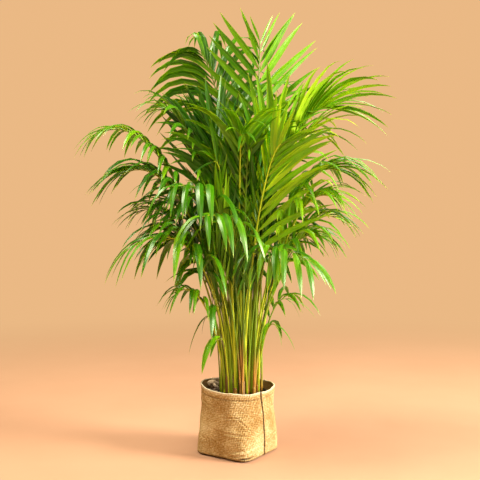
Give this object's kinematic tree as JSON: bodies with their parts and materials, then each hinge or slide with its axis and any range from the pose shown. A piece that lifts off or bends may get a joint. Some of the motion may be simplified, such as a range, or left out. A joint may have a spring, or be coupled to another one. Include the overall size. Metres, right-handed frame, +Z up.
{
  "type": "potted palm",
  "caption": "Clump of feather-palm seedlings with arching fronds, standing in soil in a soft woven jute planter bag with a rounded-square base.",
  "frame": {"origin": "middle of the bag's flat base, on the ground", "axes": "+Z up; -Y towards the picture's camera; +X to the picture's right"},
  "size_m": [0.8465, 0.6179, 1.16],
  "materials": {
    "jute": "matte",
    "film": "satin",
    "soil": "matte",
    "frond_deep": "satin",
    "frond_green": "satin",
    "frond_bright": "satin"
  },
  "bodies": {
    "root": {"bag": "jute", "liner": "film", "soil": "soil", "cane_01": "frond_bright", "cane_02": "frond_deep", "cane_03": "frond_bright", "cane_04": "frond_deep", "cane_05": "frond_green", "cane_06": "frond_green", "cane_07": "frond_deep", "cane_08": "frond_deep", "cane_09": "frond_deep", "cane_10": "frond_green", "cane_11": "frond_deep", "cane_12": "frond_bright", "cane_13": "frond_bright", "cane_14": "frond_bright", "cane_15": "frond_bright", "cane_16": "frond_green", "cane_17": "frond_deep", "cane_18": "frond_deep", "cane_19": "frond_deep", "cane_20": "frond_deep", "cane_21": "frond_deep", "cane_22": "frond_green", "cane_23": "frond_green", "cane_24": "frond_green"}
  },
  "joints": []
}
